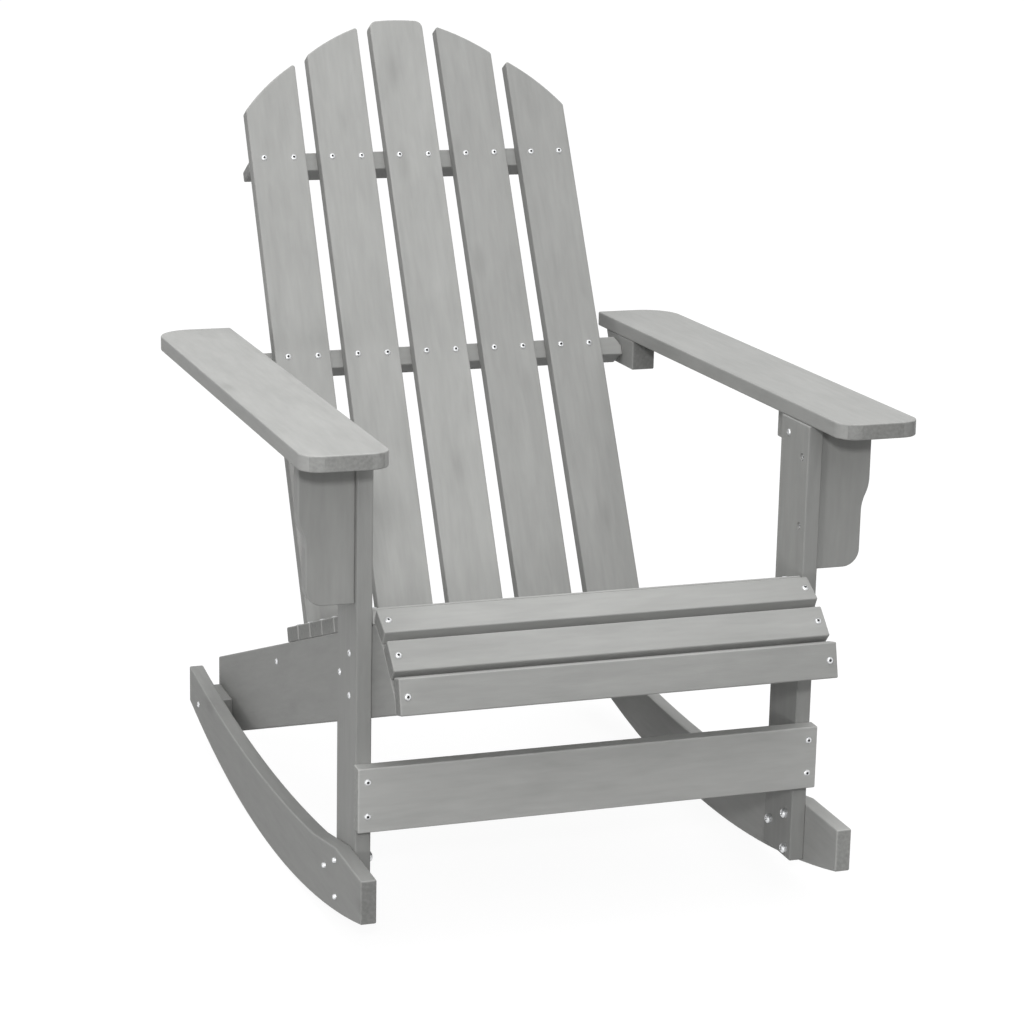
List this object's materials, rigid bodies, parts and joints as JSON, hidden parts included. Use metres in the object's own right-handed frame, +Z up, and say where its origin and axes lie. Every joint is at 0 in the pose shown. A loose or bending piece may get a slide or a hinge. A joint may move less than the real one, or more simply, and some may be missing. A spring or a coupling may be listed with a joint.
{
  "type": "outdoor rocking chair",
  "caption": "Slatted wooden garden rocking chair with a fan-shaped reclined back, wide flat arms on curved brackets and two curved rockers, in grey-stained softwood.",
  "frame": {"origin": "on the floor, under the middle of the chair's overall box at rest", "axes": "+X across the chair, +Y toward the back rest, so the sitter faces -Y, and +Z up"},
  "size_m": [0.7, 0.908, 0.9219],
  "materials": {
    "grey_timber": "grey stained softwood with faint grain, satin and slightly rough",
    "zinc": "bright zinc plated screws, bolts and nuts"
  },
  "bodies": {
    "root": {"rocker_left": "grey_timber", "rocker_right": "grey_timber", "leg_left": "grey_timber", "leg_right": "grey_timber", "side_rail_left": "grey_timber", "side_rail_right": "grey_timber", "rear_spacer_left": "grey_timber", "rear_spacer_right": "grey_timber", "stretcher": "grey_timber", "apron": "grey_timber", "seat_slat_1": "grey_timber", "seat_slat_2": "grey_timber", "seat_slat_3": "grey_timber", "seat_slat_4": "grey_timber", "seat_slat_5": "grey_timber", "seat_slat_6": "grey_timber", "seat_slat_7": "grey_timber", "seat_slat_8": "grey_timber", "seat_slat_9": "grey_timber", "back_slat_1": "grey_timber", "back_slat_2": "grey_timber", "back_slat_3": "grey_timber", "back_slat_4": "grey_timber", "back_slat_5": "grey_timber", "upper_rail": "grey_timber", "middle_rail": "grey_timber", "lower_rail": "grey_timber", "arm_left": "grey_timber", "arm_right": "grey_timber", "arm_block_left": "grey_timber", "arm_block_right": "grey_timber", "bracket_left": "grey_timber", "bracket_right": "grey_timber", "cleat_left": "grey_timber", "cleat_right": "grey_timber", "back_screws": "zinc", "seat_screws": "zinc", "leg_screws": "zinc", "stretcher_screws": "zinc", "bracket_screws": "zinc", "cleat_screws": "zinc", "arm_screws": "zinc", "block_screws": "zinc", "lower_rail_screws": "zinc", "spacer_screws": "zinc", "rocker_bolts": "zinc", "rocker_nuts": "zinc"}
  },
  "joints": []
}
